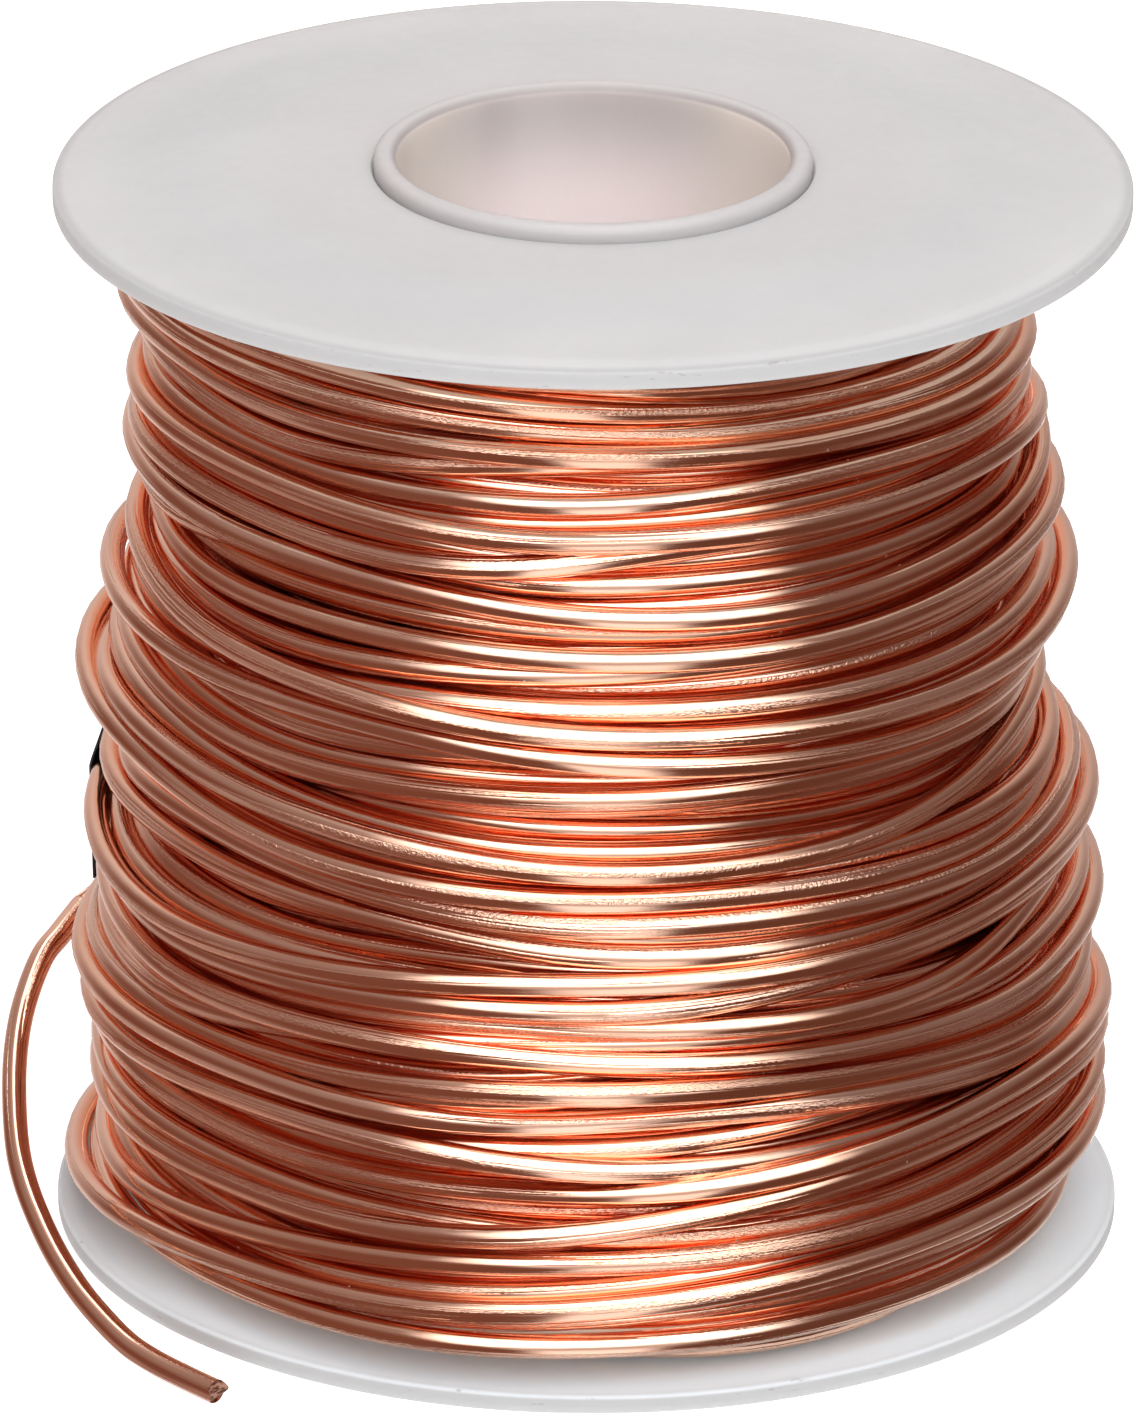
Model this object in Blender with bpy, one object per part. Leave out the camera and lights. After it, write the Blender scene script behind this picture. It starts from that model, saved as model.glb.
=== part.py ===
"""Spool of bare copper wire: a moulded plastic spool, its wound wire, the wire's free end and a strip of tape.

Metres, +Z up along the spool's axis. The origin is the centre of the end that the spool stands on.
"""
import math

import bmesh
import bpy
from mathutils import Vector

INCH = 0.0254
FLANGE_RADIUS = 1.375 * INCH
TRAVERSE = 0.0691
OVERALL_HEIGHT = 0.0756
BORE_RADIUS = 0.5 * INCH
WIRE_DIAMETER = 0.001628

# The tube's ends stand proud of the flanges as lips, and its barrel is a step wider between the flanges.
LIP_RADIUS = 0.0142
LIP_OUTER_ROUND = 0.0006
LIP_INNER_ROUND = 0.0007
BARREL_RADIUS = 0.0156
GAP = 0.0003

# Each flange is thin at its rim, where a shallow bevel runs round its outer face, and thicker at the hub.
RIM_SIDE_HEIGHT = 0.00125
RIM_ROUND = 0.0003
BEVEL_RADIUS = 0.0333
BEVEL_THICKNESS = 0.0015
HUB_THICKNESS = 0.0022
HUB_LAND_RADIUS = 0.020
HOLE_CHAMFER = 0.0003

END_DEPTH = (OVERALL_HEIGHT - TRAVERSE) / 2
LOWER_FACE_Z = END_DEPTH
UPPER_FACE_Z = OVERALL_HEIGHT - END_DEPTH

# The pack of wire is widest near the bottom. Radii are parts of the flange's diameter, and heights
# are parts of the traverse. A bulge is its height, its half width and how far it stands out.
PACK_BOTTOM_RATIO = 0.512
PACK_TAPER_RATIO = 0.105
PACK_WIDEST_RATIO = 0.484
PACK_BULGES = ((0.24, 0.14, 0.010), (0.53, 0.05, -0.008), (0.645, 0.045, 0.014))
PACK_LOWER_DROP_RATIO = 0.085
PACK_LOWER_REACH = 0.03
PACK_UPPER_DROP_RATIO = 0.04
PACK_UPPER_REACH = 0.025
PACK_LEVELS = 16

# The strip of tape lies on the back left of the pack and slopes down as it goes round.
TAPE_WIDTH = 0.012
TAPE_THICKNESS = 0.00025
TAPE_START_DEG = 168.5
TAPE_END_DEG = 105.0
TAPE_START_Z = 0.0279
TAPE_END_Z = 0.0228
TAPE_ARC_STEPS = 18
TAPE_WIDTH_STEPS = 5

# The free end of the wire, from where it lifts off the pack to its cut tip on the table.
TAIL_ROUTE = (
    (-0.03360, 0.01000, 0.01845),
    (-0.03493, 0.00685, 0.01780),
    (-0.03609, 0.00475, 0.01695),
    (-0.03706, 0.00154, 0.01529),
    (-0.03753, -0.00154, 0.01372),
    (-0.03762, -0.00503, 0.01200),
    (-0.03734, -0.00922, 0.00987),
    (-0.03673, -0.01229, 0.00836),
    (-0.03567, -0.01523, 0.00679),
    (-0.03429, -0.01809, 0.00521),
    (-0.03246, -0.02089, 0.00361),
    (-0.03002, -0.02385, 0.00215),
    (-0.02809, -0.02570, 0.00152),
    (-0.02559, -0.02773, 0.00108),
    (-0.02355, -0.02958, 0.00090),
)
TAIL_STEPS_PER_SPAN = 2

SEGMENTS = 64
ROUND_STEPS = 3


def clear_scene():
    for item in list(bpy.data.objects):
        bpy.data.objects.remove(item, do_unlink=True)


def make_material(name, colour, roughness, metallic):
    material = bpy.data.materials.new(name)
    material.use_nodes = True
    shader = material.node_tree.nodes["Principled BSDF"]
    shader.inputs["Base Color"].default_value = (*colour, 1.0)
    shader.inputs["Roughness"].default_value = roughness
    shader.inputs["Metallic"].default_value = metallic
    return material


def link_object(name, data, material):
    item = bpy.data.objects.new(name, data)
    data.materials.append(material)
    bpy.context.scene.collection.objects.link(item)
    return item


def rounded_corner(centre_r, centre_z, radius, start_deg, end_deg):
    """Points of a quarter round in the (radius, height) plane."""
    points = []
    for step in range(ROUND_STEPS + 1):
        angle = math.radians(start_deg + (end_deg - start_deg) * step / ROUND_STEPS)
        points.append((centre_r + radius * math.cos(angle), centre_z + radius * math.sin(angle)))
    return points


def turned_object(name, profile, material):
    """Spin a closed (radius, height) outline about the spool's axis."""
    mesh = bpy.data.meshes.new(name)
    shape = bmesh.new()
    corners = [shape.verts.new((radius, 0.0, height)) for radius, height in profile]
    edges = [shape.edges.new((corners[i - 1], corners[i])) for i in range(len(corners))]
    bmesh.ops.spin(
        shape, geom=corners + edges, cent=(0, 0, 0), axis=(0, 0, 1),
        angle=math.tau, steps=SEGMENTS, use_merge=True, use_duplicate=False,
    )
    bmesh.ops.recalc_face_normals(shape, faces=shape.faces)
    shape.to_mesh(mesh)
    shape.free()
    mesh.shade_smooth()
    mesh.set_sharp_from_angle(angle=math.radians(30))
    return link_object(name, mesh, material)


def lip_profile():
    """Outline of one end of the tube, from its outside over the rounded lip into the bore."""
    outer = rounded_corner(LIP_RADIUS - LIP_OUTER_ROUND, LIP_OUTER_ROUND, LIP_OUTER_ROUND, 0, -90)
    inner = rounded_corner(BORE_RADIUS + LIP_INNER_ROUND, LIP_INNER_ROUND, LIP_INNER_ROUND, -90, -180)
    return outer + inner


def mirrored(profile):
    """The same outline at the spool's other end."""
    return [(radius, OVERALL_HEIGHT - height) for radius, height in reversed(profile)]


def make_core_tube(material):
    shoulder_z = LOWER_FACE_Z + GAP
    shoulder = [(BARREL_RADIUS, shoulder_z), (LIP_RADIUS, shoulder_z)]
    lower_half = shoulder + lip_profile()
    return turned_object("core_tube", lower_half + mirrored(lower_half), material)


def flange_profile():
    """Outline of the lower flange: flat inner face, rim, bevel and a coned face up to the hub land."""
    hole_radius = LIP_RADIUS + GAP
    hub_face_z = LOWER_FACE_Z - HUB_THICKNESS
    outline = [(hole_radius, LOWER_FACE_Z)]
    outline += rounded_corner(FLANGE_RADIUS - RIM_ROUND, LOWER_FACE_Z - RIM_ROUND, RIM_ROUND, 90, 0)
    outline.append((FLANGE_RADIUS, LOWER_FACE_Z - RIM_SIDE_HEIGHT))
    outline.append((BEVEL_RADIUS, LOWER_FACE_Z - BEVEL_THICKNESS))
    outline.append((HUB_LAND_RADIUS, hub_face_z))
    outline.append((hole_radius + HOLE_CHAMFER, hub_face_z))
    outline.append((hole_radius, hub_face_z + HOLE_CHAMFER))
    return outline


def make_flanges(material):
    lower = flange_profile()
    turned_object("bottom_flange", lower, material)
    turned_object("top_flange", mirrored(lower), material)


def pack_radius(height):
    """Radius of the wound pack at a height along the traverse, as a formula of its taper and bulges."""
    level = (height - LOWER_FACE_Z) / TRAVERSE
    ratio = PACK_BOTTOM_RATIO - PACK_TAPER_RATIO * level
    for centre, half_width, amount in PACK_BULGES:
        ratio += amount * math.exp(-((level - centre) / half_width) ** 2)
    ratio = min(ratio, PACK_WIDEST_RATIO)
    ratio -= PACK_LOWER_DROP_RATIO * math.exp(-level / PACK_LOWER_REACH)
    ratio -= PACK_UPPER_DROP_RATIO * math.exp(-(1 - level) / PACK_UPPER_REACH)
    return ratio * 2 * FLANGE_RADIUS


def make_wire_winding(material):
    low = LOWER_FACE_Z + GAP
    high = UPPER_FACE_Z - GAP
    inner = BARREL_RADIUS + GAP
    outline = [(inner, high), (inner, low)]
    for step in range(PACK_LEVELS + 1):
        height = low + (high - low) * step / PACK_LEVELS
        outline.append((pack_radius(height), height))
    return turned_object("wire_winding", outline, material)


def smooth_route(points, steps):
    """Catmull-Rom curve through the points, with the end spans continued straight."""
    knots = [Vector(point) for point in points]
    knots = [2 * knots[0] - knots[1], *knots, 2 * knots[-1] - knots[-2]]
    route = []
    for before, start, end, after in zip(knots, knots[1:], knots[2:], knots[3:]):
        for step in range(steps):
            t = step / steps
            across = (end - before) * t + (2 * before - 5 * start + 4 * end - after) * t ** 2
            turning = (3 * start - before - 3 * end + after) * t ** 3
            route.append(start + (across + turning) / 2)
    route.append(knots[-2])
    return route


def make_wire_tail(material):
    route = smooth_route(TAIL_ROUTE, TAIL_STEPS_PER_SPAN)
    curve = bpy.data.curves.new("wire_tail", "CURVE")
    curve.dimensions = "3D"
    curve.bevel_depth = WIRE_DIAMETER / 2
    curve.bevel_resolution = 2
    curve.use_fill_caps = True
    spline = curve.splines.new("POLY")
    spline.points.add(len(route) - 1)
    for point, place in zip(spline.points, route):
        point.co = (*place, 1.0)
    return link_object("wire_tail", curve, material)


def tape_point(turn, across):
    """Point of the tape's underside. Both fractions run from 0 to 1, along the strip and up across it."""
    angle = math.radians(TAPE_START_DEG + (TAPE_END_DEG - TAPE_START_DEG) * turn)
    height = TAPE_START_Z + (TAPE_END_Z - TAPE_START_Z) * turn + (across - 0.5) * TAPE_WIDTH
    radius = pack_radius(height) + GAP
    return Vector((radius * math.cos(angle), radius * math.sin(angle), height))


def make_tape(material):
    """A strip bent round the pack, made thick by Solidify."""
    mesh = bpy.data.meshes.new("hold_down_tape")
    shape = bmesh.new()
    rows = []
    for i in range(TAPE_ARC_STEPS + 1):
        turn = i / TAPE_ARC_STEPS
        rows.append([shape.verts.new(tape_point(turn, j / TAPE_WIDTH_STEPS)) for j in range(TAPE_WIDTH_STEPS + 1)])
    for row, following in zip(rows, rows[1:]):
        for j in range(TAPE_WIDTH_STEPS):
            shape.faces.new((row[j], row[j + 1], following[j + 1], following[j]))
    shape.to_mesh(mesh)
    shape.free()
    mesh.shade_smooth()
    strip = link_object("hold_down_tape", mesh, material)
    thickness = strip.modifiers.new("thickness", "SOLIDIFY")
    thickness.thickness = TAPE_THICKNESS
    thickness.offset = 1.0
    return strip


def build():
    clear_scene()
    plastic = make_material("spool_plastic", (0.80, 0.80, 0.80), 0.4, 0.0)
    copper = make_material("copper_wire", (0.85, 0.46, 0.31), 0.25, 1.0)
    tape = make_material("black_tape", (0.02, 0.02, 0.02), 0.45, 0.0)
    make_core_tube(plastic)
    make_flanges(plastic)
    make_wire_winding(copper)
    make_wire_tail(copper)
    make_tape(tape)


build()
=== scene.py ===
"""The wire spool's looks: every turn of its wire, the free end, the tape and the milky plastic spool.

Metres, +Z up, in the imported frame. The wire is laid on the barrel turn by turn, as a winding machine
does it.
"""
import math

import bmesh
import bpy
import numpy as np
from mathutils import Matrix, Vector


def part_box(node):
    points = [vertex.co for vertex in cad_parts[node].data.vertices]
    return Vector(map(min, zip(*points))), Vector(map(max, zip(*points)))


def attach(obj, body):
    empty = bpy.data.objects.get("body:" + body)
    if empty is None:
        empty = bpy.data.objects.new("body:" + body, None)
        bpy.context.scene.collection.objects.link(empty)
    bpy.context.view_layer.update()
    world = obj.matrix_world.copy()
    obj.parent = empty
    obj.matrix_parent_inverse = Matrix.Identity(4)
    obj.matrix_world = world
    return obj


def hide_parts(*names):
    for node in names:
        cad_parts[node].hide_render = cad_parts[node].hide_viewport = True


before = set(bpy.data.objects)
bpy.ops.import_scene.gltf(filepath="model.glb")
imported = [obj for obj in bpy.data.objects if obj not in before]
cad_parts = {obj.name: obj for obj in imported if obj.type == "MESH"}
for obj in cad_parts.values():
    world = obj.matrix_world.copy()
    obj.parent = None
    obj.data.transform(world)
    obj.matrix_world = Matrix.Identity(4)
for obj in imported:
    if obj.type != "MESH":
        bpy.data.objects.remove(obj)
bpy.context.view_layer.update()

MM = 0.001
INCH = 0.0254

# ---------------------------------------------------------------- sizes that the frame gives
BARREL_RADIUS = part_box("core_tube")[1][0]
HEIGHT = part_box("core_tube")[1][2]
FLANGE_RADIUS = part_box("bottom_flange")[1][0]
LOWER_FACE_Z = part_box("bottom_flange")[1][2]
UPPER_FACE_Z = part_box("top_flange")[0][2]
TRAVERSE = UPPER_FACE_Z - LOWER_FACE_Z

# ---------------------------------------------------------------- sizes repeated from the part
WIRE_DIAMETER = 1.628 * MM
BORE_RADIUS = 0.5 * INCH
LIP_RADIUS = 14.2 * MM
LIP_OUTER_ROUND = 0.6 * MM
LIP_INNER_ROUND = 0.7 * MM
RIM_SIDE_HEIGHT = 1.25 * MM
BEVEL_RADIUS = 33.3 * MM
BEVEL_THICKNESS = 1.5 * MM
HUB_THICKNESS = 2.2 * MM
HUB_LAND_RADIUS = 20 * MM
JOINT_GAP = 0.3 * MM
PACK_BOTTOM_RATIO = 0.512
PACK_TAPER_RATIO = 0.105
PACK_WIDEST_RATIO = 0.484
PACK_BULGES = ((0.24, 0.14, 0.010), (0.53, 0.05, -0.008), (0.645, 0.045, 0.014))
TAPE_WIDTH = 12 * MM
TAPE_START_DEG = 168.5
TAPE_END_DEG = 105.0
TAPE_START_Z = 27.9 * MM
TAPE_END_Z = 22.8 * MM
TAIL_ROUTE = (
    (-0.03360, 0.01000, 0.01845),
    (-0.03493, 0.00685, 0.01780),
    (-0.03609, 0.00475, 0.01695),
    (-0.03706, 0.00154, 0.01529),
    (-0.03753, -0.00154, 0.01372),
    (-0.03762, -0.00503, 0.01200),
    (-0.03734, -0.00922, 0.00987),
    (-0.03673, -0.01229, 0.00836),
    (-0.03567, -0.01523, 0.00679),
    (-0.03429, -0.01809, 0.00521),
    (-0.03246, -0.02089, 0.00361),
    (-0.03002, -0.02385, 0.00215),
    (-0.02809, -0.02570, 0.00152),
    (-0.02559, -0.02773, 0.00108),
    (-0.02355, -0.02958, 0.00090),
)

# ---------------------------------------------------------------- finer details than the part has
RIM_ROUND = 0.3 * MM
RIM_LOWER_ROUND = 0.2 * MM
HOLE_CLEARANCE = 0.03 * MM
HOLE_CHAMFER = 0.15 * MM
BEVEL_BLEND = (0.12 * MM, 0.018 * MM)
CONE_STEPS = 12
LIP_STEPS = 8
ROUND_STEPS = 6
TURNED_SEGMENTS = 192
SHARP_DEG = 35
TAPE_SHARP_DEG = 40
TAPE_THICKNESS = 0.15 * MM
TAPE_LIFT = 0.08 * MM
TAPE_ARC_STEPS = 36
TAPE_ROWS = 24
TAPE_PASSES = 3
TAPE_FEEL = 0.6
TAIL_SIDES = 24
TAIL_STEPS_PER_SPAN = 6
TIP_SLANT = 0.9
TIP_RIDGE_ACROSS = (1, -0.45, 0)
SEEN_SIDES = 12
UV_SHIFT = 0.01
HIDDEN_SIDES = 6
HIDDEN_STRIDE = 2

# ---------------------------------------------------------------- how the wire is wound
SEED = 251
STATIONS = 96
STEP_ANGLE = math.tau / STATIONS
BLOCK = 24
REACH = 20
MOST_TURNS = 620
PITCH = 1.7 * WIRE_DIAMETER
PITCH_WANDER = 0.21
SWAY = 0.37 * WIRE_DIAMETER
SWAY_SHIFT = 0.00013
DRIFT_KEPT = 0.985
DRIFT_NOISE = 0.17
PASS_TOPS = (*(72.2 * MM,) * 5, 65.0 * MM, 38.6 * MM, 30.8 * MM, 19.5 * MM)
LAST_BLOCK_START = 48
SIDE_CLEARANCE = 0.03 * MM
TURN_BACK = 0.001 * MM

# Past this radius the pack's ends draw in from the flanges, each outer layer a little further. The
# lower end draws in most, and more at the front than at the back.
END_CONE_RADIUS = 26 * MM
LOWER_CONE = 0.34
LOWER_CONE_RIGHT = 0.09
LOWER_CONE_BACK = 0.18
LOWER_TURN_CONE = 0.2
UPPER_CONE = 0.12

# How the wire chooses its place: the cost of climbing, of leaving the guide and of bending sideways.
GUIDE_PULL = 0.22
BEND_WEIGHT = 0.024
BEND_SCALE = 0.1
NEAR_REACH = 1.35
SLOPE_KEPT = 0.86
STEEPEST = 0.06 * WIRE_DIAMETER
SIDE_STEPS = np.arange(-3, 4) * 0.035 * WIRE_DIAMETER
SMOOTHING_REACH = 9
SMOOTHING = np.exp(-0.5 * (np.arange(-SMOOTHING_REACH, SMOOTHING_REACH + 1) / 3.6) ** 2)
SMOOTHING = SMOOTHING / SMOOTHING.sum()
HEIGHT_SPREAD = 1.5
RADIUS_SPREAD = 2.6

# How the finished pack is drawn to the part's outline, and how it leans.
OUTLINE_STEP = 1.0 * MM
OUTLINE_SPREAD = 1.6
OUTLINE_MARGIN = 0.65 * MM
OUTLINE_MOST = 1.1
LEAN_POWER = 1.5
LEAN_BOTTOM = 0.75 * MM
LEAN_BOTTOM_REACH = 0.22
LEAN_TOP = 1.5 * MM
LEAN_TOP_START = 0.68
LEAN_TOP_REACH = 0.25
LEAN_ALL = 0.25 * MM

# How the last turn is carried over to the free end.
LEAD_RADIUS_POWER = 1.5
LEAD_QUADRATIC = 0.35
LEAD_EASE = 0.65

# A turn counts as seen when this share of it lies within this depth, in diameters, of the surface.
COVER_REACH = 0.9
SEEN_DEPTH = 1.3
SEEN_SHARE = 0.02

# ---------------------------------------------------------------- colours
COPPER_TONES = ((0.86, 0.54, 0.39, 1.0), (0.88, 0.60, 0.46, 1.0))
# Painted red reflection of the neighbouring turns, on the wire's flanks.
COPPER_PAINTED_REFLECTION = (0.95, 0.40, 0.22, 1.0)
COPPER_DUST = (0.9, 0.82, 0.78, 1.0)
SHEARED_TONES = ((0.16, 0.07, 0.05, 1.0), (0.60, 0.40, 0.32, 1.0))
PLASTIC_TONES = ((0.465, 0.488, 0.498, 1.0), (0.495, 0.518, 0.528, 1.0))
# Painted light and shade: the hub's warm glow, the darker rim, lip and lip's inner round, the bright face
# under the pack, and the bore's colours except its streaks.
HUB_PAINTED_WARM_GLOW = (0.51, 0.50, 0.502, 1.0)
RIM_PAINTED_SHADE = (0.375, 0.395, 0.405, 1.0)
LIP_PAINTED_SHADE = (0.44, 0.445, 0.452, 1.0)
LIP_INSIDE_PAINTED_SHADE = (0.34, 0.325, 0.325, 1.0)
PAINTED_LIGHT_UNDER_PACK = (0.78, 0.90, 0.97, 1.0)
BORE_MOUTH_PAINTED_SHADE = (0.44, 0.42, 0.42, 1.0)
BORE_DEEP_PAINTED_GLOW = (0.86, 0.775, 0.775, 1.0)
BORE_SIDES_PAINTED_LIGHT = (0.755, 0.72, 0.655, 1.0)
BORE_RIGHT_PAINTED_LIGHT = (0.90, 0.86, 0.79, 1.0)
BORE_STREAKS = (0.9, 0.88, 0.88, 1.0)
SCUFF = (0.25, 0.24, 0.22, 1.0)
TAPE_TONES = ((0.012, 0.012, 0.013, 1.0), (0.035, 0.035, 0.037, 1.0))
FLOOR_TONES = ((0.60, 0.60, 0.60, 1.0), (0.64, 0.64, 0.64, 1.0))

# Where a wire's flanks begin and end, as parts of its girth. The flanks that face the neighbouring turns
# carry a painted red reflection of those turns. The girth starts next to the axis and goes up over the
# wire, so that 0.25 is its top and 0.5 faces outwards.
PAINTED_REFLECTION_SHARE = 0.9
UPPER_PAINTED_REFLECTION_FLANK = (0.20, 0.32)
LOWER_PAINTED_REFLECTION_FLANK = (0.59, 0.75)

# ---------------------------------------------------------------- studio light, angles in degrees
KEY_LIGHT = 2.9
KEY_FOOT = 0.55
KEY_LOWER_EDGE = (2.0, 24.0)
KEY_UPPER_EDGE = (112.0, 138.0)
KEY_HALF_WIDTH = 13.5
KEY_FRONT_WIDENING = 25.0
KEY_SHIFT = 3.0
KEY_FRONT_SHIFT = 4.0
KEY_SOFTNESS = (0.7, 1.3)
KEY_MIDDLE = 68.0
KEY_HALF_LENGTH = 95.0
KEY_ROUNDNESS = 1.12
KEY_LEAST_WIDTH = 0.3
GROUND_EDGE = (-28.0, -8.0)
GROUND_LIGHT = 1.3
WALL_UPPER_EDGE = (5.0, 45.0)
WALL_LOW_COLOUR = (0.20, 0.085, 0.06, 1.0)
WALL_HIGH_COLOUR = (0.34, 0.25, 0.235, 1.0)
LEFT_SHARE = 1.08
RIGHT_SHARE = 0.72
SHARE_REACH = 0.7
SIDE_EDGE = (70.0, 100.0)
SIDE_GROUND = 0.2
CEILING_EDGE = (50.0, 75.0)
CEILING_LIGHT = 0.22
BACK_EDGE = (120.0, 165.0)
BACK_LIGHT = 0.5
BACK_UPPER_EDGE = (40.0, 70.0)
FLOOR_SIZE = 6.0
FLOOR_Z = -0.05 * MM

# ---------------------------------------------------------------- camera
SENSOR_HEIGHT = 24
CAMERA_LENS = 293.98
CAMERA_DISTANCE = 1.135
CAMERA_ELEVATION_DEG = 21.89
CAMERA_ROLL_DEG = 0.349
CAMERA_TARGET = (-1.31 * MM, 0, 36.85 * MM)


class Lay:
    """The wire laid so far: one row per turn, one column per station round the barrel."""

    def __init__(self):
        self.low = LOWER_FACE_Z + WIRE_DIAMETER / 2 + SIDE_CLEARANCE
        self.high = UPPER_FACE_Z - WIRE_DIAMETER / 2 - SIDE_CLEARANCE
        self.floor = BARREL_RADIUS + WIRE_DIAMETER / 2
        self.z_rows = np.full((MOST_TURNS, STATIONS), -1.0)
        self.r_rows = np.zeros((MOST_TURNS, STATIONS))
        count = MOST_TURNS * STATIONS
        self.z = np.zeros(count)
        self.rest = np.zeros(count)
        self.r = np.zeros(count)
        angles = np.arange(STATIONS) * STEP_ANGLE
        self.cone = LOWER_CONE - LOWER_CONE_RIGHT * np.cos(angles) - LOWER_CONE_BACK * np.sin(angles)

    def heights_of_rest(self, turn, station, z_now, choices):
        """Radius at which the wire's centre rests at each choice of z, and a softened one for choosing."""
        z_near = self.z_rows[:turn, station]
        near = np.abs(z_near - z_now) < NEAR_REACH * WIRE_DIAMETER
        z_near = z_near[near]
        r_near = self.r_rows[:turn, station][near]
        if z_near.size == 0:
            flat = np.full(choices.shape, self.floor)
            return flat, flat
        apart = np.minimum(np.abs(choices[:, None] - z_near[None, :]) / WIRE_DIAMETER, 1)
        touching = apart < 1
        true_rest = np.where(touching, r_near + WIRE_DIAMETER * np.sqrt(1 - apart ** 2), self.floor)
        soft_rest = np.where(touching, r_near + WIRE_DIAMETER * np.cos(apart * math.pi / 2), self.floor)
        return tuple(np.maximum(rest.max(axis=1), self.floor) for rest in (true_rest, soft_rest))

    def settle(self, start, end, known_end):
        """Smooth the wire's z over a block of stations, lift it onto what is under it and pull it taut."""
        index = np.arange(start, end)
        turns, stations = np.divmod(index, STATIONS)
        first = max(start - SMOOTHING_REACH, 0)
        missing = SMOOTHING_REACH - (start - first)
        run = np.pad(self.z[first:end + SMOOTHING_REACH], (missing, 0), mode="edge")
        z_smooth = np.convolve(run, SMOOTHING, mode="valid")[:end - start]
        rows = np.arange(turns[0] + 1)[:, None]
        z_under = self.z_rows[:turns[0] + 1][:, stations]
        r_under = self.r_rows[:turns[0] + 1][:, stations]
        squared = WIRE_DIAMETER ** 2 - (z_smooth[None, :] - z_under) ** 2
        touching = (squared > 0) & (rows < turns[None, :])
        rest = np.where(touching, r_under + np.sqrt(np.maximum(squared, 0)), self.floor).max(axis=0)
        rest = np.maximum(rest, self.floor)
        self.z[index] = z_smooth
        self.rest[index] = rest
        self.z_rows[turns, stations] = z_smooth
        self.r[index] = np.maximum(taut_radius(self.rest, index, known_end), rest)
        self.r_rows[turns, stations] = self.r[index]


def taut_radius(rest, index, known_end):
    """Radius of the highest straight chord over each station between two stations on either side of it."""
    steps = np.arange(1, REACH + 1)
    arcs = steps * STEP_ANGLE
    behind = rest[np.maximum(index - steps[:, None], 0)][:, None, :]
    ahead = rest[np.minimum(index + steps[:, None], known_end - 1)][None, :, :]
    sin_behind = np.sin(arcs)[:, None, None]
    sin_ahead = np.sin(arcs)[None, :, None]
    sin_both = np.sin(arcs[:, None] + arcs[None, :])[:, :, None]
    chords = behind * ahead * sin_both / (behind * sin_behind + ahead * sin_ahead)
    return chords.reshape(-1, len(index)).max(axis=0)


def lay_wire():
    """Wind the barrel full. Gives the lay and the number of stations used."""
    rng = np.random.default_rng(SEED)
    lay = Lay()
    guide = lay.low
    direction = 1.0
    z_now = lay.low
    slope = 0.0
    drift = 0.0
    radius = lay.floor
    phase = rng.uniform(0, math.tau)
    passes = 0
    place = 0
    while place < MOST_TURNS * STATIONS - 2 * BLOCK:
        for t in range(place, place + BLOCK):
            turn, station = divmod(t, STATIONS)
            outer = max(radius - END_CONE_RADIUS, 0)
            z_least = lay.low + lay.cone[station] * outer
            z_most = lay.high - UPPER_CONE * outer
            drift = DRIFT_KEPT * drift + DRIFT_NOISE * rng.normal()
            guide += direction * PITCH / STATIONS * (1 + PITCH_WANDER * drift)
            guide = min(max(guide, lay.low), lay.high)
            aim = guide + SWAY * math.sin(t * STEP_ANGLE + phase + SWAY_SHIFT * t)
            aim = min(max(aim, z_least), z_most)
            choices = np.clip(z_now + slope + SIDE_STEPS, min(z_least, z_now), max(z_most, z_now))
            rest, soft = lay.heights_of_rest(turn, station, z_now, choices)
            bend = ((choices - z_now - slope) / (BEND_SCALE * WIRE_DIAMETER)) ** 2 * WIRE_DIAMETER
            cost = soft + GUIDE_PULL * (choices - aim) ** 2 / WIRE_DIAMETER + BEND_WEIGHT * bend
            best = int(np.argmin(cost))
            slope = min(max(SLOPE_KEPT * (choices[best] - z_now), -STEEPEST), STEEPEST)
            z_now = choices[best]
            radius = rest[best]
            lay.z[t] = z_now
            lay.rest[t] = radius
            lay.r[t] = radius
            lay.z_rows[turn, station] = z_now
            lay.r_rows[turn, station] = radius
        if place >= BLOCK:
            lay.settle(place - BLOCK, place, place + BLOCK)
        place += BLOCK
        going_up = direction > 0
        top = PASS_TOPS[passes // 2]
        bottom = lay.low + LOWER_TURN_CONE * max(radius - END_CONE_RADIUS, 0) + TURN_BACK
        if going_up and guide >= min(top, lay.high - TURN_BACK):
            if passes // 2 == len(PASS_TOPS) - 1:
                if place % STATIONS == LAST_BLOCK_START:
                    break
                guide = top
            else:
                direction = -1.0
                passes += 1
        elif not going_up and guide <= bottom:
            direction = 1.0
            passes += 1
    return lay, place - BLOCK


def softened(values, spread):
    """A wire is too stiff for sharp corners: average each station with its neighbours."""
    reach = int(3 * spread) + 1
    weights = np.exp(-0.5 * (np.arange(-reach, reach + 1) / spread) ** 2)
    return np.convolve(np.pad(values, reach, mode="edge"), weights / weights.sum(), mode="valid")


def outline_radius(z):
    """Radius of the part's wound pack at a height, without its drop at either flange."""
    level = (z - LOWER_FACE_Z) / TRAVERSE
    ratio = PACK_BOTTOM_RATIO - PACK_TAPER_RATIO * level
    for centre, half_width, amount in PACK_BULGES:
        ratio = ratio + amount * np.exp(-((level - centre) / half_width) ** 2)
    return np.minimum(ratio, PACK_WIDEST_RATIO) * 2 * FLANGE_RADIUS


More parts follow.
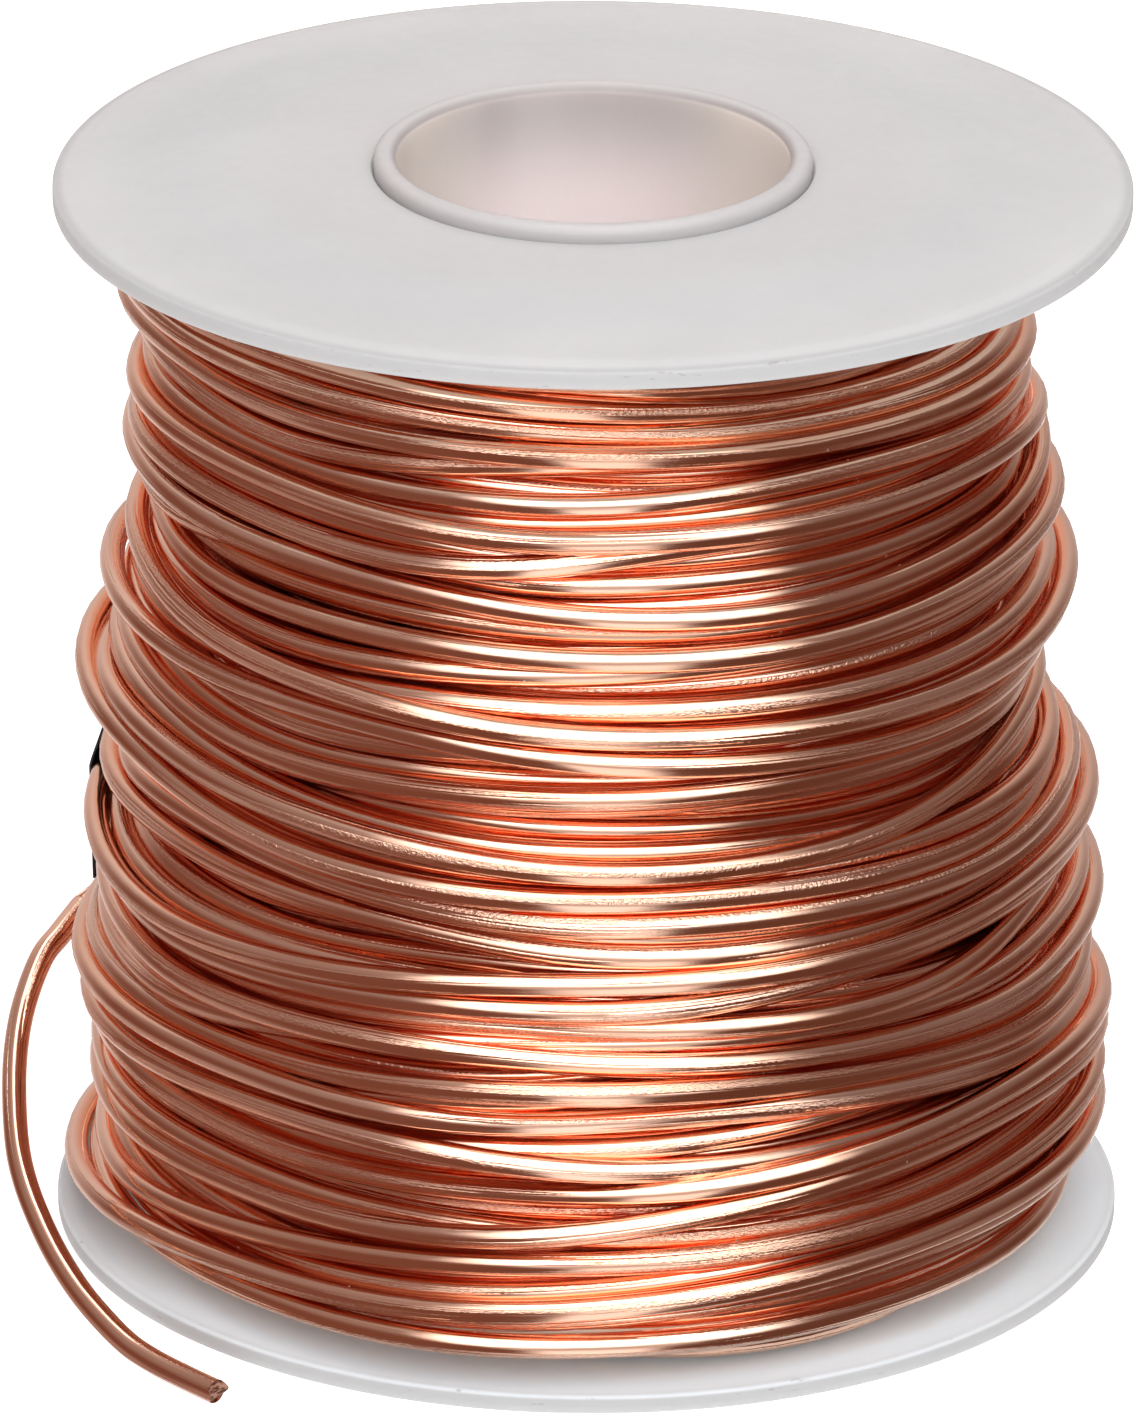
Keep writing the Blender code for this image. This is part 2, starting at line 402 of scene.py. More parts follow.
def drawn_to_outline(z, r):
    """Move the turns in or out a little, level by level, so that the pack's mean outline is the part's."""
    levels = np.arange(LOWER_FACE_Z, UPPER_FACE_Z, OUTLINE_STEP)
    station = np.arange(len(z)) % STATIONS
    surface = np.zeros((len(levels), STATIONS))
    place = ((z - LOWER_FACE_Z) / OUTLINE_STEP).astype(int)
    for near in (-1, 0, 1):
        np.maximum.at(surface, (np.clip(place + near, 0, len(levels) - 1), station), r)
    outer = softened(surface.mean(axis=1), OUTLINE_SPREAD)
    now = np.interp(z, levels, outer)
    wanted = outline_radius(z) - WIRE_DIAMETER / 2 - OUTLINE_MARGIN
    return r + (wanted - now) * np.clip((r - BARREL_RADIUS) / (now - BARREL_RADIUS), 0, OUTLINE_MOST)


def leaning(points):
    """The pack leans a little: its outer turns sit to the left at the top and to the right below."""
    radius = np.hypot(points[:, 0], points[:, 1])
    outerness = np.clip((radius - BARREL_RADIUS) / (FLANGE_RADIUS - BARREL_RADIUS), 0, 1) ** LEAN_POWER
    level = (points[:, 2] - LOWER_FACE_Z) / TRAVERSE
    to_right = LEAN_BOTTOM * np.exp(-(level / LEAN_BOTTOM_REACH) ** 2)
    to_left = LEAN_TOP * np.clip((level - LEAN_TOP_START) / LEAN_TOP_REACH, 0, 1)
    leaned = points.copy()
    leaned[:, 0] += (to_right - to_left - LEAN_ALL) * outerness
    return leaned


def wire_path():
    """Centre line of the whole wound wire, and how far each station lies under the pack's surface."""
    lay, count = lay_wire()
    z = softened(lay.z[:count], HEIGHT_SPREAD)
    r = drawn_to_outline(z, softened(lay.r[:count], RADIUS_SPREAD))
    angle = np.arange(count) * STEP_ANGLE
    depth = np.zeros(count)
    for station in range(STATIONS):
        here = np.arange(station, count, STATIONS)
        beside = np.abs(z[here][:, None] - z[here][None, :]) < COVER_REACH * WIRE_DIAMETER
        depth[here] = np.where(beside, r[here][None, :], 0).max(axis=1) - r[here]
    points = leaning(np.stack([r * np.cos(angle), r * np.sin(angle), z], axis=-1))
    return points, depth


def lead_out(points):
    """Carry the wire's last station over to the start of its free end, on one smooth curve."""
    tail = np.array(TAIL_ROUTE[:2])
    start = points[-1]
    start_angle = math.atan2(start[1], start[0]) % math.tau
    end_angle = math.atan2(tail[0][1], tail[0][0]) % math.tau
    start_radius = math.hypot(start[0], start[1])
    end_radius = math.hypot(tail[0][0], tail[0][1])
    steps = max(int((end_angle - start_angle) / STEP_ANGLE), 4)
    t = np.arange(1, steps + 1) / steps
    ease = t * t * (3 - 2 * t)
    angle = start_angle + (end_angle - start_angle) * t
    radius = start_radius + (end_radius - start_radius) * t ** LEAD_RADIUS_POWER
    z = start[2] + (tail[0][2] - start[2]) * (LEAD_QUADRATIC * t * t + LEAD_EASE * ease)
    extra = np.stack([radius * np.cos(angle), radius * np.sin(angle), z], axis=-1)
    extra[-1] = tail[0]
    return np.concatenate([points, extra])


# ---------------------------------------------------------------- mesh helpers
def new_object(name, mesh):
    item = bpy.data.objects.new(name, mesh)
    bpy.context.scene.collection.objects.link(item)
    return item


def tube_rings(points, radius, sides):
    """Rings of points round a centre line. The first point of each ring is on the side next to the axis."""
    tangent = np.gradient(points, axis=0)
    tangent /= np.linalg.norm(tangent, axis=1, keepdims=True)
    outward = points * (1, 1, 0)
    outward -= (outward * tangent).sum(axis=1, keepdims=True) * tangent
    outward /= np.linalg.norm(outward, axis=1, keepdims=True)
    across = np.cross(tangent, outward)
    angle = math.pi + np.arange(sides) * math.tau / sides
    out_part = np.cos(angle)[None, :, None] * outward[:, None, :]
    side_part = np.sin(angle)[None, :, None] * across[:, None, :]
    return points[:, None, :] + radius * (out_part + side_part)


def tubes_object(name, runs, radius, sides):
    """One object of capped tubes. Its UV map holds metres along the wire and metres round it."""
    vertices, quads, caps, along = [], [], [], []
    base = 0
    for points in runs:
        count = len(points)
        vertices.append(tube_rings(points, radius, sides).reshape(-1, 3))
        lengths = np.concatenate([[0], np.cumsum(np.linalg.norm(np.diff(points, axis=0), axis=1))])
        i = np.arange(count - 1)[:, None]
        j = np.arange(sides)[None, :]
        k = (j + 1) % sides
        corners = [i * sides + j, i * sides + k, (i + 1) * sides + k, (i + 1) * sides + j]
        quads.append(base + np.stack(corners, axis=-1).reshape(-1, 4))
        u = np.broadcast_to(np.stack([lengths[i], lengths[i], lengths[i + 1], lengths[i + 1]], axis=-1),
                            (count - 1, sides, 4))
        v = np.broadcast_to(np.stack([j, j + 1, j + 1, j], axis=-1), (count - 1, sides, 4))
        around = math.tau * radius / sides
        along.append(np.stack([u + base * UV_SHIFT, v * around], axis=-1).reshape(-1, 2))
        last = base + (count - 1) * sides
        caps += [list(range(base + sides - 1, base - 1, -1)), list(range(last, last + sides))]
        base += count * sides
    mesh = bpy.data.meshes.new(name)
    faces = np.concatenate(quads).tolist() + caps
    mesh.from_pydata(np.concatenate(vertices).tolist(), [], faces)
    uv_map = mesh.uv_layers.new(name="wire")
    flat = np.zeros((len(mesh.loops), 2))
    side_uv = np.concatenate(along)
    flat[:len(side_uv)] = side_uv
    uv_map.data.foreach_set("uv", flat.ravel())
    mesh.shade_smooth()
    return new_object(name, mesh)


def turned_object(name, profile):
    """Spin a closed (radius, height) outline about the spool's axis."""
    mesh = bpy.data.meshes.new(name)
    shape = bmesh.new()
    corners = [shape.verts.new((radius, 0.0, height)) for radius, height in profile]
    edges = [shape.edges.new((corners[i - 1], corners[i])) for i in range(len(corners))]
    bmesh.ops.spin(shape, geom=corners + edges, cent=(0, 0, 0), axis=(0, 0, 1),
                   angle=math.tau, steps=TURNED_SEGMENTS, use_merge=True, use_duplicate=False)
    bmesh.ops.recalc_face_normals(shape, faces=shape.faces)
    shape.to_mesh(mesh)
    shape.free()
    mesh.shade_smooth()
    mesh.set_sharp_from_angle(angle=math.radians(SHARP_DEG))
    return new_object(name, mesh)


def arc(centre_r, centre_z, radius, start_deg, end_deg, steps=ROUND_STEPS):
    """Points of an arc in the (radius, height) plane."""
    angles = [math.radians(start_deg + (end_deg - start_deg) * i / steps) for i in range(steps + 1)]
    return [(centre_r + radius * math.cos(a), centre_z + radius * math.sin(a)) for a in angles]


def smooth_route(points, steps):
    """Catmull-Rom curve through the points, with the end spans continued straight."""
    knots = [Vector(point) for point in points]
    knots = [2 * knots[0] - knots[1], *knots, 2 * knots[-1] - knots[-2]]
    route = []
    for before, start, end, after in zip(knots, knots[1:], knots[2:], knots[3:]):
        for step in range(steps):
            t = step / steps
            across = (end - before) * t + (2 * before - 5 * start + 4 * end - after) * t ** 2
            turning = (3 * start - before - 3 * end + after) * t ** 3
            route.append(start + (across + turning) / 2)
    route.append(knots[-2])
    return np.array([tuple(point) for point in route])


# ---------------------------------------------------------------- node helpers
class Nodes:
    """Short names for building a node tree."""

    def __init__(self, tree):
        self.tree = tree
        self.shader = tree.nodes.get("Principled BSDF")

    def set(self, **values):
        for socket, value in values.items():
            self.shader.inputs[socket.replace("_", " ")].default_value = value

    def add(self, kind, inputs=None, **settings):
        node = self.tree.nodes.new(kind)
        for key, value in settings.items():
            setattr(node, key, value)
        for socket, value in (inputs or {}).items():
            if isinstance(value, bpy.types.NodeSocket):
                self.tree.links.new(value, node.inputs[socket])
            else:
                node.inputs[socket].default_value = value
        return node

    def wire_up(self, output, socket):
        self.tree.links.new(output, self.shader.inputs[socket])

    def math(self, operation, first, second=0.0):
        return self.add("ShaderNodeMath", {0: first, 1: second}, operation=operation).outputs[0]

    def times(self, first, second):
        return self.math("MULTIPLY", first, second)

    def plus(self, first, second):
        return self.math("ADD", first, second)

    def between(self, value, low, high, to_low=0.0, to_high=1.0):
        inputs = {"Value": value, "From Min": low, "From Max": high, "To Min": to_low, "To Max": to_high}
        return self.add("ShaderNodeMapRange", inputs, interpolation_type="SMOOTHSTEP").outputs[0]

    def mix(self, factor, first, second, blend="MIX"):
        node = self.add("ShaderNodeMix", data_type="RGBA", blend_type=blend)
        for index, value in ((0, factor), (6, first), (7, second)):
            if isinstance(value, bpy.types.NodeSocket):
                self.tree.links.new(value, node.inputs[index])
            else:
                node.inputs[index].default_value = value
        return node.outputs[2]

    def noise(self, vector, scale, detail=2.0, roughness=0.5):
        inputs = {"Vector": vector, "Scale": scale, "Detail": detail, "Roughness": roughness}
        return self.add("ShaderNodeTexNoise", inputs).outputs["Fac"]

    def scaled(self, vector, scale):
        return self.add("ShaderNodeMapping", {"Vector": vector, "Scale": scale}).outputs[0]

    def bump(self, height, strength, distance):
        inputs = {"Height": height, "Strength": strength, "Distance": distance}
        self.wire_up(self.add("ShaderNodeBump", inputs).outputs[0], "Normal")


def new_material(name):
    material = bpy.data.materials.new(name)
    material.use_nodes = True
    return material, Nodes(material.node_tree)


def copper_material(name, painted_reflection_amount):
    """Bright drawn copper: fine lines along the wire, rough stretches, pits and specks of dust.

    The flanks that face the neighbouring turns carry a painted red reflection of those turns, by
    painted_reflection_amount.
    """
    material, nodes = new_material(name)
    uv = nodes.add("ShaderNodeUVMap", uv_map="wire").outputs[0]
    place = nodes.add("ShaderNodeTexCoord").outputs["Object"]
    tone = nodes.noise(nodes.scaled(uv, (14.0, 90.0, 1.0)), 1.0, 2.0, 0.5)
    colour = nodes.mix(nodes.between(tone, 0.35, 0.65), *COPPER_TONES)
    girth = nodes.add("ShaderNodeSeparateXYZ", {0: uv}).outputs[1]
    around = nodes.math("DIVIDE", girth, math.pi * WIRE_DIAMETER)
    # Painted reflection: the flanks that face the neighbouring turns are painted redder.
    upper_painted_reflection = nodes.between(around, *UPPER_PAINTED_REFLECTION_FLANK, 1.0, 0.0)
    painted_reflection_mask = nodes.math("MAXIMUM", upper_painted_reflection, nodes.between(around, *LOWER_PAINTED_REFLECTION_FLANK))
    colour = nodes.mix(nodes.times(painted_reflection_mask, painted_reflection_amount), colour, COPPER_PAINTED_REFLECTION)
    dust = nodes.add("ShaderNodeTexVoronoi", {"Vector": place, "Scale": 520.0}).outputs["Distance"]
    dusty_places = nodes.between(nodes.noise(place, 160.0, 1.0), 0.55, 0.6)
    dusty = nodes.times(nodes.between(dust, 0.03, 0.06, 1.0, 0.0), dusty_places)
    nodes.wire_up(nodes.mix(dusty, colour, COPPER_DUST), "Base Color")
    lines = nodes.noise(nodes.scaled(uv, (60.0, 5200.0, 1.0)), 1.0, 4.0, 0.65)
    pits = nodes.noise(nodes.scaled(uv, (3800.0, 6400.0, 1.0)), 1.0, 2.0, 0.7)
    stretches = nodes.noise(nodes.scaled(uv, (22.0, 1500.0, 1.0)), 1.0, 2.0, 0.5)
    rough_skin = nodes.between(stretches, 0.54, 0.62)
    roughness = nodes.plus(nodes.between(lines, 0.3, 0.75, 0.09, 0.2), nodes.times(rough_skin, 0.10))
    nodes.wire_up(nodes.plus(roughness, nodes.times(dusty, 0.4)), "Roughness")
    skin = nodes.times(nodes.times(pits, rough_skin), 9.0)
    height = nodes.plus(nodes.times(lines, 0.55), nodes.plus(skin, nodes.times(pits, 0.08)))
    nodes.bump(height, 0.4, 0.04 * MM)
    nodes.set(Metallic=1.0)
    return material


def sheared_copper_material():
    """The two dull faces that side cutters leave on the tip."""
    material, nodes = new_material("sheared_copper")
    place = nodes.add("ShaderNodeTexCoord").outputs["Object"]
    marks = nodes.noise(nodes.scaled(place, (2000.0, 2000.0, 9000.0)), 1.0, 2.0, 0.6)
    nodes.wire_up(nodes.mix(nodes.between(marks, 0.4, 0.6), *SHEARED_TONES), "Base Color")
    nodes.wire_up(nodes.between(marks, 0.3, 0.7, 0.35, 0.5), "Roughness")
    nodes.set(Metallic=1.0)
    return material


def bore_wall_painted_light(nodes, place, x, z):
    """Painted light in the bore: a painted copper glow through the thin wall, stronger with depth, painted
    shade near the mouth, painted beige sides and a painted lighter right side.
    """
    # Painted shade near the bore's mouth, and a painted bright copper glow deeper in.
    deep = nodes.between(z, HEIGHT - 10 * MM, HEIGHT - 0.5 * MM, 1.0, 0.0)
    wall = nodes.mix(deep, BORE_MOUTH_PAINTED_SHADE, BORE_DEEP_PAINTED_GLOW)
    # Painted light: the sides of the bore are painted beige.
    sideways = nodes.between(nodes.math("ABSOLUTE", x), 6 * MM, 12.5 * MM)
    wall = nodes.mix(nodes.times(sideways, 0.75), wall, BORE_SIDES_PAINTED_LIGHT)
    streaks = nodes.noise(nodes.scaled(place, (160.0, 160.0, 12.0)), 1.0, 2.0, 0.5)
    wall = nodes.mix(nodes.between(streaks, 0.3, 0.7, 0.0, 0.12), wall, BORE_STREAKS)
    # Painted light: the right side of the bore is painted lighter.
    return nodes.mix(nodes.between(x, 4 * MM, 12.5 * MM, 0.0, 0.6), wall, BORE_RIGHT_PAINTED_LIGHT)


def outside_colour(nodes, place, radius, z):
    """Milky white, with painted light: a painted warm glow round the hub, painted shade on the rim, the lip
    and the lip's inner round, and painted light where the lower flange faces the pack.
    """
    cloud = nodes.noise(place, 60.0, 3.0, 0.55)
    clean = nodes.mix(nodes.between(cloud, 0.3, 0.7), *PLASTIC_TONES)
    # Painted warm glow round the hub, the copper's colour coming through the plastic.
    colour = nodes.mix(nodes.between(radius, 14.5 * MM, 27 * MM, 0.45, 0.0), clean, HUB_PAINTED_WARM_GLOW)
    # Painted shade: the rim, which faces the softbox, is painted darker.
    rim = nodes.between(radius, FLANGE_RADIUS - 0.9 * MM, FLANGE_RADIUS - 0.2 * MM)
    colour = nodes.mix(rim, colour, RIM_PAINTED_SHADE)
    # Painted shade: the lip, lit strongly from the front, is painted darker.
    lip = nodes.between(radius, LIP_RADIUS, LIP_RADIUS + 0.3 * MM, 0.9, 0.0)
    colour = nodes.mix(lip, colour, LIP_PAINTED_SHADE)
    # Painted shade on the lip's inner round, which catches the softbox at the far side.
    inner_round_painted_shade = nodes.between(radius, BORE_RADIUS + 0.1 * MM, BORE_RADIUS + 0.6 * MM, 0.8, 0.0)
    colour = nodes.mix(inner_round_painted_shade, colour, LIP_INSIDE_PAINTED_SHADE)
    # Painted light: the lower flange's inner face is painted bright where the pack shades it.
    above = nodes.between(z, LOWER_FACE_Z - 0.3 * MM, LOWER_FACE_Z - 0.1 * MM)
    below = nodes.between(z, LOWER_FACE_Z + 0.1 * MM, LOWER_FACE_Z + 0.3 * MM, 1.0, 0.0)
    inwards = nodes.between(radius, 31.5 * MM, FLANGE_RADIUS, 1.0, 0.35)
    return nodes.mix(nodes.times(nodes.times(above, below), inwards), colour, PAINTED_LIGHT_UNDER_PACK)


def plastic_material():
    """Milky natural polypropylene, with a few scuffs on the rims."""
    material, nodes = new_material("milky_polypropylene")
    place = nodes.add("ShaderNodeTexCoord").outputs["Object"]
    x, y, z = nodes.add("ShaderNodeSeparateXYZ", {0: place}).outputs
    radius = nodes.math("SQRT", nodes.plus(nodes.times(x, x), nodes.times(y, y)))
    outside = outside_colour(nodes, place, radius, z)
    in_bore = nodes.between(radius, BORE_RADIUS + 0.01 * MM, BORE_RADIUS + 0.1 * MM, 1.0, 0.0)
    # The bore's wall colour is painted light and shade.
    colour = nodes.mix(in_bore, outside, bore_wall_painted_light(nodes, place, x, z))
    scuff_spots = nodes.noise(nodes.scaled(place, (420.0, 420.0, 2200.0)), 1.0, 3.0, 0.8)
    on_rim = nodes.between(radius, FLANGE_RADIUS - 0.4 * MM, FLANGE_RADIUS - 0.1 * MM)
    scuffs = nodes.times(nodes.between(scuff_spots, 0.64, 0.72), on_rim)
    nodes.wire_up(nodes.mix(nodes.times(scuffs, 0.6), colour, SCUFF), "Base Color")
    satin = nodes.noise(place, 900.0, 2.0, 0.6)
    nodes.wire_up(nodes.between(satin, 0.3, 0.7, 0.38, 0.5), "Roughness")
    waves = nodes.times(nodes.noise(place, 120.0, 2.0, 0.5), 0.8)
    grain = nodes.times(nodes.noise(place, 2500.0, 2.0, 0.5), 0.2)
    nodes.bump(nodes.plus(waves, grain), 0.2, 0.2 * MM)
    nodes.set(Subsurface_Weight=0.5, Subsurface_Scale=4 * MM, Subsurface_Radius=(1.0, 0.9, 0.85))
    nodes.set(IOR=1.49, Specular_IOR_Level=0.3)
    return material


def tape_material():
    """Black vinyl tape with a satin grain."""
    material, nodes = new_material("black_vinyl_tape")
    place = nodes.add("ShaderNodeTexCoord").outputs["Object"]
    dust = nodes.noise(place, 500.0, 3.0, 0.6)
    nodes.wire_up(nodes.mix(nodes.between(dust, 0.45, 0.75), *TAPE_TONES), "Base Color")
    grain = nodes.noise(place, 2500.0, 2.0, 0.6)
    nodes.wire_up(nodes.between(grain, 0.3, 0.7, 0.32, 0.5), "Roughness")
    nodes.bump(grain, 0.3, 0.04 * MM)
    return material


def floor_material():
    """Pale matt floor, lifted towards white by a little light of its own."""
    material, nodes = new_material("pale_floor")
    place = nodes.add("ShaderNodeTexCoord").outputs["Object"]
    nodes.wire_up(nodes.mix(nodes.noise(place, 8.0), *FLOOR_TONES), "Base Color")
    nodes.set(Roughness=0.9, Emission_Color=(1.0, 1.0, 1.0, 1.0), Emission_Strength=0.8)
    return material


# ---------------------------------------------------------------- pieces
def finish_piece(piece, material, slot, *nodes):
    piece.data.materials.append(material)
    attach(piece, "root")
    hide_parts(*nodes)
    return piece


def split_runs(points, chosen_turns, stride):
    """Runs of the centre line over neighbouring chosen turns, each overlapping the next by a station."""
    runs = []
    turn = 0
    turns = len(chosen_turns)
    while turn < turns:
        if not chosen_turns[turn]:
            turn += 1
            continue
        end = turn
        while end < turns and chosen_turns[end]:
            end += 1
        runs.append(points[turn * STATIONS:min(end * STATIONS + 1, len(points)):stride])
        turn = end
    return [run for run in runs if len(run) > 3]


def make_winding(copper):
    """The wound wire as four pieces. Gives its centre line, up to where the free end begins."""
    points, depth = wire_path()
    turns = math.ceil(len(points) / STATIONS)
    padded = np.pad(depth, (0, turns * STATIONS - len(depth)), constant_values=0)
    seen = (padded.reshape(turns, STATIONS) < SEEN_DEPTH * WIRE_DIAMETER).mean(axis=1) > SEEN_SHARE
    seen[-1] = True
    groups = []
    for chosen, stride in ((~seen, HIDDEN_STRIDE), (seen, 1)):
        early = np.cumsum(chosen) <= chosen.sum() / 2
        groups += [split_runs(points, chosen & half, stride) for half in (early, ~early)]
    full = lead_out(points)
    groups[-1][-1] = np.concatenate([groups[-1][-1], full[len(points):]])
    names = ("wire_inner_turns", "wire_middle_turns", "wire_outer_turns", "wire_surface_turns")
    for name, runs, sides in zip(names, groups, (HIDDEN_SIDES, HIDDEN_SIDES, SEEN_SIDES, SEEN_SIDES)):
        piece = tubes_object(name, runs, WIRE_DIAMETER / 2, sides)
        finish_piece(piece, copper, "copper_wire", "wire_winding")
    return full


def cut_tip(piece):
    """Shape the tube's last ring into the two slanting faces that side cutters leave."""
    shape = bmesh.new()
    shape.from_mesh(piece.data)
    shape.verts.ensure_lookup_table()
    ring = shape.verts[-TAIL_SIDES:]
    centre = sum((vertex.co for vertex in ring), Vector()) / TAIL_SIDES
    before = sum((vertex.co for vertex in shape.verts[-2 * TAIL_SIDES:-TAIL_SIDES]), Vector()) / TAIL_SIDES
    forward = (centre - before).normalized()
    across = forward.cross(Vector(TIP_RIDGE_ACROSS)).normalized()
    shape.faces.remove(next(face for face in ring[0].link_faces if len(face.verts) == TAIL_SIDES))
    for vertex in ring:
        vertex.co -= forward * TIP_SLANT * abs((vertex.co - centre).dot(across))
    ridge = min(range(TAIL_SIDES // 2), key=lambda place: abs((ring[place].co - centre).dot(across)))
    half = ridge + TAIL_SIDES // 2
    for corners in (ring[ridge:half + 1], ring[half:] + ring[:ridge + 1]):
        shape.faces.new(corners).material_index = 1
    bmesh.ops.recalc_face_normals(shape, faces=shape.faces)
    shape.to_mesh(piece.data)
    shape.free()
    piece.data.set_sharp_from_angle(angle=math.radians(SHARP_DEG))


def make_tail(copper, sheared):
    route = smooth_route(TAIL_ROUTE, TAIL_STEPS_PER_SPAN)
    piece = tubes_object("wire_free_end", [route], WIRE_DIAMETER / 2, TAIL_SIDES)
    cut_tip(piece)
    finish_piece(piece, copper, "copper_wire", "wire_tail")
    piece.data.materials.append(sheared)


def pulled_tight(heights):
    """The lowest outline with no hollows that lies on or above a row of evenly spaced heights."""
    places = np.arange(len(heights))
    tight = heights.copy()
    for left in places:
        for right in places[left + 2:]:
            between = places[left + 1:right]
            chord = heights[left] + (heights[right] - heights[left]) * (between - left) / (right - left)
            tight[between] = np.maximum(tight[between], chord)
    return tight


def tape_angle_deg(turn):
    """Angle round the axis at a fraction of the strip's length."""
    return TAPE_START_DEG + (TAPE_END_DEG - TAPE_START_DEG) * turn


def tape_heights(turn):
    """Heights of the strip's rows at a fraction of its length."""
    across = (np.arange(TAPE_ROWS + 1) / TAPE_ROWS - 0.5) * TAPE_WIDTH
    return TAPE_START_Z + (TAPE_END_Z - TAPE_START_Z) * turn + across


def tape_surface(points):
    """Radius of the strip at each step along it and each row across it, pulled tight over the wires."""
    angles = np.degrees(np.arctan2(points[:, 1], points[:, 0])) % 360
    radii = np.hypot(points[:, 0], points[:, 1])
    rows = []
    for i in range(TAPE_ARC_STEPS + 1):
        turn = i / TAPE_ARC_STEPS
        here = np.abs(angles - tape_angle_deg(turn)) < math.degrees(STEP_ANGLE) * TAPE_FEEL
        squared = (WIRE_DIAMETER / 2) ** 2 - (tape_heights(turn)[:, None] - points[here, 2][None, :]) ** 2
        tops = np.where(squared > 0, radii[here][None, :] + np.sqrt(np.maximum(squared, 0)), BARREL_RADIUS)
        rows.append(pulled_tight(tops.max(axis=1)))
    surface = np.stack(rows)
    for _ in range(TAPE_PASSES):
        spread = np.pad(surface, ((1, 1), (0, 0)), mode="edge")
        surface = np.maximum(surface, (spread[:-2] + spread[2:]) / 2)
    return surface


def make_tape(points, tape):
    """A strip of tape pulled tight over the wires at the back left of the pack."""
    surface = tape_surface(points)
    vertices, faces = [], []
    for offset in (TAPE_LIFT, TAPE_LIFT + TAPE_THICKNESS):
        for i in range(TAPE_ARC_STEPS + 1):
            turn = i / TAPE_ARC_STEPS
            angle = math.radians(tape_angle_deg(turn))
            for radius, z in zip(surface[i] + offset, tape_heights(turn)):
                vertices.append((radius * math.cos(angle), radius * math.sin(angle), z))
    wide = TAPE_ROWS + 1
    layer = wide * (TAPE_ARC_STEPS + 1)
    for i in range(TAPE_ARC_STEPS):
        for j in range(TAPE_ROWS):
            a = i * wide + j
            b, c, d = a + 1, a + wide + 1, a + wide
            faces += [(a, b, c, d), (layer + d, layer + c, layer + b, layer + a)]
    last = TAPE_ARC_STEPS * wide
    rim = list(range(wide)) + [i + TAPE_ROWS for i in range(wide, last + 1, wide)]
    rim += list(range(last + TAPE_ROWS - 1, last - 1, -1)) + list(range(last - wide, 0, -wide))
    faces += [(b, a, layer + a, layer + b) for a, b in zip(rim, rim[1:] + rim[:1])]
    mesh = bpy.data.meshes.new("tape_strip")
    mesh.from_pydata(vertices, [], faces)
    mesh.shade_smooth()
    mesh.set_sharp_from_angle(angle=math.radians(TAPE_SHARP_DEG))
    finish_piece(new_object("tape_strip", mesh), tape, "black_tape", "hold_down_tape")


def mirrored(profile):
    """The same outline at the spool's other end."""
    return [(radius, HEIGHT - z) for radius, z in reversed(profile)]


def tube_outline():
    """The lower half of the tube: its shoulder and its rounded lip, into the bore."""
    shoulder_z = LOWER_FACE_Z + JOINT_GAP
    outline = [(BARREL_RADIUS, shoulder_z), (LIP_RADIUS, shoulder_z)]
    outline += arc(LIP_RADIUS - LIP_OUTER_ROUND, LIP_OUTER_ROUND, LIP_OUTER_ROUND, 0, -90, LIP_STEPS)
    outline += arc(BORE_RADIUS + LIP_INNER_ROUND, LIP_INNER_ROUND, LIP_INNER_ROUND, -90, -180)
    return outline


def flange_outline():
    """The lower flange: flat inner face, rim, bevel and a softly coned face up to the hub."""
    hole = LIP_RADIUS + HOLE_CLEARANCE
    rim_end = LOWER_FACE_Z - RIM_SIDE_HEIGHT
    bevel_face = LOWER_FACE_Z - BEVEL_THICKNESS
    hub_face = LOWER_FACE_Z - HUB_THICKNESS
    outline = [(hole, LOWER_FACE_Z)]
    outline += arc(FLANGE_RADIUS - RIM_ROUND, LOWER_FACE_Z - RIM_ROUND, RIM_ROUND, 90, 0)
    outline += arc(FLANGE_RADIUS - RIM_LOWER_ROUND, rim_end + RIM_LOWER_ROUND, RIM_LOWER_ROUND, 0, -80)
    outline.append((BEVEL_RADIUS + BEVEL_BLEND[0], bevel_face + BEVEL_BLEND[1]))
    for step in range(CONE_STEPS + 1):
        t = step / CONE_STEPS
        ease = t * t * (3 - 2 * t)
        radius = BEVEL_RADIUS + (HUB_LAND_RADIUS - BEVEL_RADIUS) * t
        outline.append((radius, bevel_face + (hub_face - bevel_face) * ease))
    outline += [(hole + HOLE_CHAMFER, hub_face), (hole, hub_face + HOLE_CHAMFER)]
    return outline


def make_spool(plastic):
    tube = tube_outline()
    flange = flange_outline()
    pieces = (("spool_tube", tube + mirrored(tube), "core_tube"),
              ("lower_flange", flange, "bottom_flange"),
              ("upper_flange", mirrored(flange), "top_flange"))
    for name, outline, node in pieces:
        finish_piece(turned_object(name, outline), plastic, "spool_plastic", node)


# ---------------------------------------------------------------- studio
def add_camera():
    data = bpy.data.cameras.new("camera")
    data.sensor_fit = "VERTICAL"
    data.sensor_height = SENSOR_HEIGHT
    data.lens = CAMERA_LENS
    data.clip_start = 0.01
    data.clip_end = 20
    camera = bpy.data.objects.new("camera", data)
    bpy.context.scene.collection.objects.link(camera)
    elevation = math.radians(CAMERA_ELEVATION_DEG)
    target = Vector(CAMERA_TARGET)
    back = CAMERA_DISTANCE * math.cos(elevation)
    camera.location = target + Vector((0, -back, CAMERA_DISTANCE * math.sin(elevation)))
    look = (target - camera.location).to_track_quat("-Z", "Y").to_matrix().to_4x4()
    roll = Matrix.Rotation(math.radians(CAMERA_ROLL_DEG), 4, "Z")
    camera.rotation_euler = (look @ roll).to_euler()
    bpy.context.scene.camera = camera


def ramp(nodes, angle, edge_deg, start, end):
    """A smooth step of light over an angle, between two angles in degrees."""
    return nodes.between(angle, *map(math.radians, edge_deg), start, end)


